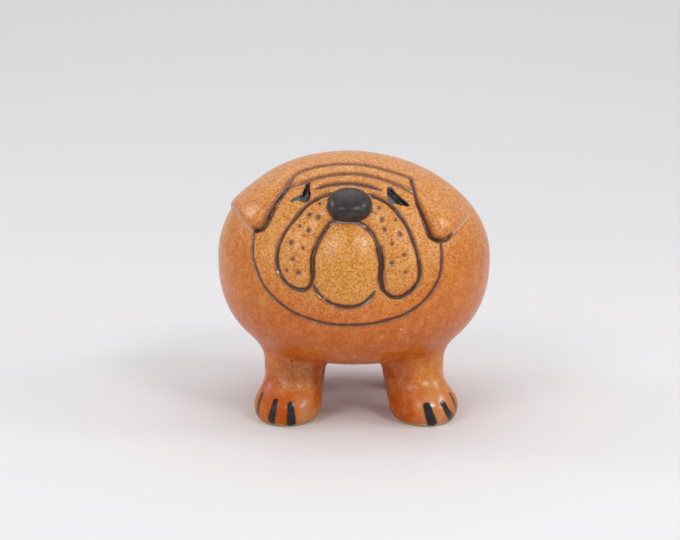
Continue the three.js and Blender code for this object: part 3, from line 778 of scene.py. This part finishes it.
# The broad zones of colour: the bare rim of the soles, the face, the chin, the feet, patches on the legs,
# some of them painted shade.
RIM_FADE = (0.35, 1.0)
FACE_ZONE = (0, 1, 36, 29)
FACE_ZONE_FADE = (0.75, 1.15)
CHIN_ZONE = MOUNDS[0][:4]
CHIN_ZONE_FADE = (0.7, 1.15)
FOOT_ZONE_FRONT = 30
FOOT_ZONE_SLOPE = 0.25
FOOT_ZONE_FADE = (7, 16)
PATCH_FADE = (0.4, 1.2)
PATCH_RAGGED = 0.15
PATCH_RAGGED_SPACING = 2.5
PATCH_FRONT_FADE = (-28, -18)


def face_zone(zone, fade):
    zone_u, zone_v, half_width, half_height = zone
    return 1 - smooth_step(np.hypot((u - zone_u) / half_width, (v - zone_v) / half_height), *fade)


rim = 1 - smooth_step(points[:, 2], *RIM_FADE)
face_tone = face_zone(FACE_ZONE, FACE_ZONE_FADE) * on_front
chin_tone = face_zone(CHIN_ZONE, CHIN_ZONE_FADE) * on_front
foot_height = points[:, 2] + FOOT_ZONE_SLOPE * np.minimum(points[:, 1] + FOOT_ZONE_FRONT, 0)
foot_tone = 1 - smooth_step(foot_height, *FOOT_ZONE_FADE)
patch_tones = []
for patches in (GOLD_PATCHES, TAN_PATCHES, RED_AND_SHADE_PATCHES):
    tone = np.zeros(len(points))
    for x, z, half_width, half_height in patches:
        away = np.hypot((points[:, 0] - x) / half_width, (points[:, 2] - z) / half_height)
        away += PATCH_RAGGED * wobble(points, PATCH_RAGGED_SPACING, 31)
        tone = np.maximum(tone, 1 - smooth_step(away, *PATCH_FADE))
    patch_tones.append(tone * (1 - smooth_step(points[:, 1], *PATCH_FRONT_FADE)))
gold, tan, red = patch_tones

points = points + lift[:, None] * normals
points[:, 2] = np.maximum(points[:, 2], 0)


def mesh_object(name, points, triangles, attributes):
    """An object of smooth triangles, with a number for each point under each attribute's name."""
    mesh = bpy.data.meshes.new(name)
    mesh.vertices.add(len(points))
    mesh.vertices.foreach_set("co", (points * MM).astype(np.float32).ravel())
    mesh.loops.add(triangles.size)
    mesh.loops.foreach_set("vertex_index", triangles.astype(np.int32).ravel())
    mesh.polygons.add(len(triangles))
    mesh.polygons.foreach_set("loop_start", np.arange(0, triangles.size, 3, dtype=np.int32))
    mesh.polygons.foreach_set("use_smooth", np.ones(len(triangles), bool))
    for label, values in attributes.items():
        layer = mesh.attributes.new(label, "FLOAT", "POINT")
        layer.data.foreach_set("value", values.astype(np.float32))
    mesh.update(calc_edges=True)
    mesh.validate()
    made = bpy.data.objects.new(name, mesh)
    bpy.context.scene.collection.objects.link(made)
    return made


figurine = mesh_object(
    "glazed_dog",
    points,
    triangles,
    {
        "ink": ink, "stain": stain, "nose": on_nose, "claw": claw, "rim": rim, "pale": pale,
        "face_tone": face_tone, "chin_tone": chin_tone, "foot_tone": foot_tone, "amber": amber,
        "gold": gold, "tan": tan, "red": red, "eye": eye, "painted_eye_reflection": painted_eye_reflection, "painted_mouth_glint": painted_mouth_glint,
    },
)


class Nodes:
    """Makes a material's nodes and joins them up."""

    def __init__(self, material):
        material.use_nodes = True
        self.tree = material.node_tree
        self.tree.nodes.clear()

    def add(self, kind, inputs=(), **settings):
        node = self.tree.nodes.new(kind)
        for name, value in settings.items():
            setattr(node, name, value)
        for key, value in dict(inputs).items():
            if isinstance(value, bpy.types.NodeSocket):
                self.tree.links.new(value, node.inputs[key])
            else:
                node.inputs[key].default_value = value
        return node

    def attribute(self, name):
        return self.add("ShaderNodeAttribute", attribute_name=name).outputs["Fac"]

    def noise(self, where, scale, detail=2.0, roughness=0.5):
        return self.add(
            "ShaderNodeTexNoise",
            {"Vector": where, "Scale": scale, "Detail": detail, "Roughness": roughness},
        ).outputs["Fac"]

    def span(self, value, low, high, to_low=0.0, to_high=1.0):
        return self.add(
            "ShaderNodeMapRange",
            {"Value": value, "From Min": low, "From Max": high, "To Min": to_low, "To Max": to_high},
        ).outputs["Result"]

    def math(self, operation, a, b):
        return self.add("ShaderNodeMath", {0: a, 1: b}, operation=operation).outputs[0]

    def blend(self, share, a, b):
        return self.add("ShaderNodeMix", {0: share, 2: a, 3: b}, data_type="FLOAT").outputs[0]

    def mix(self, share, a, b, blend="MIX"):
        return self.add(
            "ShaderNodeMix", {0: share, 6: a, 7: b}, data_type="RGBA", blend_type=blend
        ).outputs[2]


def colour(red, green, blue):
    return (red, green, blue, 1.0)


# Fine patterns of the glaze: scale, detail and roughness of each noise.
NOISES = {
    "grain": (2400, 2.0, 0.6),
    "fleck": (1250, 2.0, 0.6),
    "blotch": (300, 3.0, 0.55),
    "zone": (40, 2.0, 0.5),
    "skin": (1500, 2.0, 0.55),
    "peel": (420, 2.0, 0.5),
    "shine": (700, 2.0, 0.5),
}
SPECK_SCALE = 2100

# Colours of the glaze: where it ran thin and where it is thick, then a darker, redder painted shade for
# surfaces that face down and a paler painted sheen for those that face up.
THIN_GLAZE = colour(0.50, 0.130, 0.006)
THICK_GLAZE = colour(0.57, 0.175, 0.010)
UNDERSIDE_PAINTED_SHADE = colour(0.49, 0.100, 0.004)
TOP_PAINTED_SHEEN = colour(0.69, 0.280, 0.058)
BLOTCH_GLAZE = colour(0.72, 0.34, 0.10)
DARK_GRAIN = colour(0.66, 0.48, 0.20)
PALE_GRAIN = colour(1.30, 1.75, 3.60)

# Zones that lie over one another: the attribute, how far it covers what lies below, and its colour.
ZONES = [
    ("face_tone", 1.0, colour(0.59, 0.228, 0.034)),
    ("chin_tone", 1.0, colour(0.58, 0.232, 0.030)),
    ("foot_tone", 1.0, colour(0.50, 0.100, 0.002)),
    # Red brown, painted shade on the legs' sides that face the gap between them.
    ("red", 0.85, colour(0.42, 0.066, 0.003)),
    ("tan", 0.8, colour(0.37, 0.095, 0.015)),
    ("gold", 0.8, colour(0.51, 0.165, 0.009)),
    ("amber", 0.6, colour(0.56, 0.155, 0.012)),
]

# Dark glaze in the carving, the eyes and the nose: two colours of each.
STAIN = colour(0.22, 0.060, 0.022)
INK = [colour(0.080, 0.024, 0.012), colour(0.150, 0.060, 0.042)]
INK_CORE = colour(0.035, 0.014, 0.009)
# Black glaze in the eyes, and a grey-blue painted reflection on their shallow floors.
EYE_BLACK_AND_REFLECTION = [colour(0.014, 0.012, 0.013), colour(0.085, 0.088, 0.100)]
NOSE_BLACK = [colour(0.020, 0.017, 0.017), colour(0.045, 0.032, 0.032)]
# A pale grey painted highlight along the groove under the nose.
MOUTH_GLINT_COLOUR = colour(0.40, 0.36, 0.36)
# Pale glaze at the ears' back edges, also used as a painted highlight on the raised specks.
PALE_GLAZE_AND_GLINT = colour(0.66, 0.46, 0.34)
SOLE_RIM = colour(0.72, 0.66, 0.32)
CLAW_PAINT = colour(0.011, 0.008, 0.008)

# How rough and how glossy each part of the glaze is.
ROUGHNESS = [("foot_tone", 0.36), ("gold", 0.24), ("nose", 0.30), ("claw", 0.15), ("ink", 0.12)]
BARE_GLOSS = 0.44
INK_GLOSS = 0.66
FOOT_GLOSS = 0.16
GOLD_FOOT_GLOSS = 1.0
CLAW_GLOSS = 0.4
NOSE_GLOSS = 0.36
BUMP_HEIGHT = 0.00006

glaze = bpy.data.materials.new("stoneware_glaze")
nodes = Nodes(glaze)
where = nodes.add("ShaderNodeTexCoord").outputs["Object"]
noise = {name: nodes.noise(where, *facts) for name, facts in NOISES.items()}
cells = nodes.add("ShaderNodeTexVoronoi", {"Vector": where, "Scale": SPECK_SCALE}).outputs["Color"]
speck = nodes.add("ShaderNodeSeparateColor", {"Color": cells}).outputs["Red"]
normal = nodes.add("ShaderNodeNewGeometry").outputs["Normal"]
up = nodes.add("ShaderNodeSeparateXYZ", {"Vector": normal}).outputs["Z"]

# The body of the glaze: redder where it ran thin and more golden on the face, with painted shade on
# surfaces that face down and a paler painted sheen on those that face up.
body = nodes.mix(nodes.span(noise["zone"], 0.35, 0.65), THIN_GLAZE, THICK_GLAZE)
body = nodes.mix(nodes.span(up, -0.5, 0.35), UNDERSIDE_PAINTED_SHADE, body)
body = nodes.mix(nodes.span(up, 0.2, 0.95, 0.0, 0.8), body, TOP_PAINTED_SHEEN)
for label, cover, tone in ZONES:
    body = nodes.mix(nodes.span(nodes.attribute(label), 0.0, 1.0, 0.0, cover), body, tone)

# Its mottle: soft pale patches, fine dark grains and fine pale ones, fainter underneath.
body = nodes.mix(nodes.span(noise["blotch"], 0.45, 0.65, 0.0, 0.22), body, BLOTCH_GLAZE)
mottle = nodes.math("MULTIPLY", noise["fleck"], 0.4)
for pattern, share in ((noise["grain"], 0.35), (speck, 0.25)):
    mottle = nodes.math("ADD", mottle, nodes.math("MULTIPLY", pattern, share))
strength = nodes.math("MAXIMUM", nodes.span(up, -0.5, 0.5, 0.6, 1.1), nodes.attribute("face_tone"))
strength = nodes.math("MAXIMUM", strength, nodes.attribute("tan"))
for label, share in (("foot_tone", 0.35), ("gold", 0.5)):
    strength = nodes.math("MULTIPLY", strength, nodes.span(nodes.attribute(label), 0.0, 1.0, 1.0, share))
pale_specks = nodes.math("MULTIPLY", strength, nodes.span(mottle, 0.50, 0.62, 0.0, 0.55))
dark_specks = nodes.math("MULTIPLY", strength, nodes.span(mottle, 0.50, 0.38, 0.0, 0.85))
body = nodes.mix(dark_specks, body, nodes.mix(1.0, body, DARK_GRAIN, "MULTIPLY"))
body = nodes.mix(pale_specks, body, nodes.mix(1.0, body, PALE_GRAIN, "MULTIPLY"))

# What lies on it: stain and dark glaze in the carving, eyes with a painted reflection on their shallow
# floors, a painted highlight under the nose, pale edges and specks with painted highlights, the soles' rim,
# nose and claws.
ink_glaze = nodes.mix(nodes.span(noise["blotch"], 0.35, 0.7), *INK)
eye_glaze = nodes.mix(nodes.attribute("painted_eye_reflection"), *EYE_BLACK_AND_REFLECTION)
nose_glaze = nodes.mix(nodes.span(noise["blotch"], 0.4, 0.65), *NOSE_BLACK)
body = nodes.mix(nodes.span(nodes.attribute("stain"), 0.0, 1.0, 0.0, 0.55), body, STAIN)
body = nodes.mix(nodes.attribute("ink"), body, ink_glaze)
body = nodes.mix(nodes.span(nodes.attribute("ink"), 0.7, 1.0, 0.0, 0.75), body, INK_CORE)
for label, tone in (
    ("eye", eye_glaze),
    ("painted_mouth_glint", MOUTH_GLINT_COLOUR),
    ("pale", PALE_GLAZE_AND_GLINT),
    ("rim", SOLE_RIM),
    ("nose", nose_glaze),
    ("claw", CLAW_PAINT),
):
    body = nodes.mix(nodes.attribute(label), body, tone)

# The skin of the glaze, smoother in the carving and on the nose.
height = nodes.math("ADD", nodes.math("MULTIPLY", noise["skin"], 0.45), noise["peel"])
smooth_parts = nodes.math("MAXIMUM", nodes.attribute("nose"), nodes.attribute("ink"))
bump = nodes.add(
    "ShaderNodeBump",
    {"Height": height, "Strength": nodes.span(smooth_parts, 0.0, 1.0, 0.85, 0.3), "Distance": BUMP_HEIGHT},
).outputs["Normal"]
rough = nodes.span(noise["shine"], 0.3, 0.7, 0.22, 0.34)
for label, value in ROUGHNESS:
    rough = nodes.blend(nodes.attribute(label), rough, value)
gold_foot = nodes.math("MULTIPLY", nodes.attribute("gold"), nodes.attribute("foot_tone"))
gloss = nodes.span(nodes.attribute("ink"), 0.0, 1.0, BARE_GLOSS, INK_GLOSS)
gloss = nodes.blend(nodes.attribute("foot_tone"), gloss, FOOT_GLOSS)
gloss = nodes.blend(gold_foot, gloss, GOLD_FOOT_GLOSS)
gloss = nodes.blend(nodes.attribute("claw"), gloss, CLAW_GLOSS)
gloss = nodes.blend(nodes.attribute("nose"), gloss, NOSE_GLOSS)
shader = nodes.add(
    "ShaderNodeBsdfPrincipled",
    {"Base Color": body, "Roughness": rough, "Specular IOR Level": gloss, "Normal": bump, "IOR": 1.5},
)
nodes.add("ShaderNodeOutputMaterial", {"Surface": shader.outputs["BSDF"]})
figurine.data.materials.append(glaze)
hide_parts("dog_figurine")
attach(figurine, "root")


# The stage: one pale sheet that runs from the floor up behind the figurine in a wide bend.
SWEEP_HALF_WIDTH = 2.2
SWEEP_FRONT = -2.2
SWEEP_BACK = 0.32
SWEEP_RADIUS = 2.0
SWEEP_TOP = 3.0
SWEEP_STEPS = 40
PAPER_COLOUR = colour(0.765, 0.757, 0.767)
PAPER_ROUGHNESS = 0.75
profile = [(SWEEP_FRONT, 0.0), (SWEEP_BACK, 0.0)]
profile += [
    (SWEEP_BACK + SWEEP_RADIUS * math.sin(a), SWEEP_RADIUS * (1 - math.cos(a)))
    for a in np.linspace(0, math.pi / 2, SWEEP_STEPS)[1:]
]
profile.append((SWEEP_BACK + SWEEP_RADIUS, SWEEP_TOP))
rows = [[(side * SWEEP_HALF_WIDTH, y, z) for side in (-1, 1)] for y, z in profile]
sweep_mesh = bpy.data.meshes.new("sweep")
sweep_mesh.from_pydata(
    [corner for row in rows for corner in row],
    [],
    [(2 * i, 2 * i + 1, 2 * i + 3, 2 * i + 2) for i in range(len(rows) - 1)],
)
for polygon in sweep_mesh.polygons:
    polygon.use_smooth = True
sweep = bpy.data.objects.new("sweep", sweep_mesh)
bpy.context.scene.collection.objects.link(sweep)
paper = bpy.data.materials.new("pale_sheet")
paper_nodes = Nodes(paper)
paper_shader = paper_nodes.add(
    "ShaderNodeBsdfPrincipled", {"Base Color": PAPER_COLOUR, "Roughness": PAPER_ROUGHNESS}
)
paper_nodes.add("ShaderNodeOutputMaterial", {"Surface": paper_shader.outputs["BSDF"]})
sweep_mesh.materials.append(paper)


# Square soft lights: name, azimuth (0 in front, 90 to the right), elevation, distance, size and power.
LIGHT_AIM = Vector((0, 0, 0.05))
LIGHTS = [
    ("left_lamp", -33, 37, 1.5, 0.5, 4.0),
    ("right_lamp", 33, 40, 1.5, 0.32, 4.5),
    ("left_softbox", -105, 32, 1.0, 0.24, 1.1),
    ("right_softbox", 82, 36, 1.0, 0.24, 1.4),
    ("top_softbox", 180, 68, 1.3, 1.2, 3.0),
    ("left_panel", -56, 14, 1.0, 0.45, 0.4),
    ("right_panel", 62, 18, 1.0, 0.25, 0.7),
]
for name, azimuth, elevation, distance, size, power in LIGHTS:
    lamp = bpy.data.lights.new(name, "AREA")
    lamp.shape = "SQUARE"
    lamp.size = size
    lamp.energy = power
    light = bpy.data.objects.new(name, lamp)
    turn, rise = math.radians(azimuth), math.radians(elevation)
    away = Vector((math.sin(turn) * math.cos(rise), -math.cos(turn) * math.cos(rise), math.sin(rise)))
    light.location = away * distance + LIGHT_AIM
    light.rotation_euler = away.to_track_quat("Z", "Y").to_euler()
    bpy.context.scene.collection.objects.link(light)

WORLD_COLOUR = colour(0.99, 0.99, 1.0)
WORLD_STRENGTH = 0.635
world = bpy.data.worlds.new("studio")
world.use_nodes = True
background = world.node_tree.nodes["Background"]
background.inputs["Color"].default_value = WORLD_COLOUR
background.inputs["Strength"].default_value = WORLD_STRENGTH
bpy.context.scene.world = world
bpy.context.scene.view_settings.view_transform = "Standard"

CAMERA_AIM = np.array([-5.35, -6.3, 53.2]) * MM
CAMERA_ELEVATION = math.radians(11)
CAMERA_DISTANCE = 0.5885
CAMERA_LENS = 80
CAMERA_SENSOR = 36
CAMERA_NEAR = 0.02
camera_data = bpy.data.cameras.new("camera")
camera_data.lens = CAMERA_LENS
camera_data.sensor_width = CAMERA_SENSOR
camera_data.clip_start = CAMERA_NEAR
camera = bpy.data.objects.new("camera", camera_data)
camera.location = CAMERA_AIM + CAMERA_DISTANCE * np.array(
    [0, -math.cos(CAMERA_ELEVATION), math.sin(CAMERA_ELEVATION)]
)
camera.rotation_euler = (math.pi / 2 - CAMERA_ELEVATION, 0, 0)
bpy.context.scene.collection.objects.link(camera)
bpy.context.scene.camera = camera
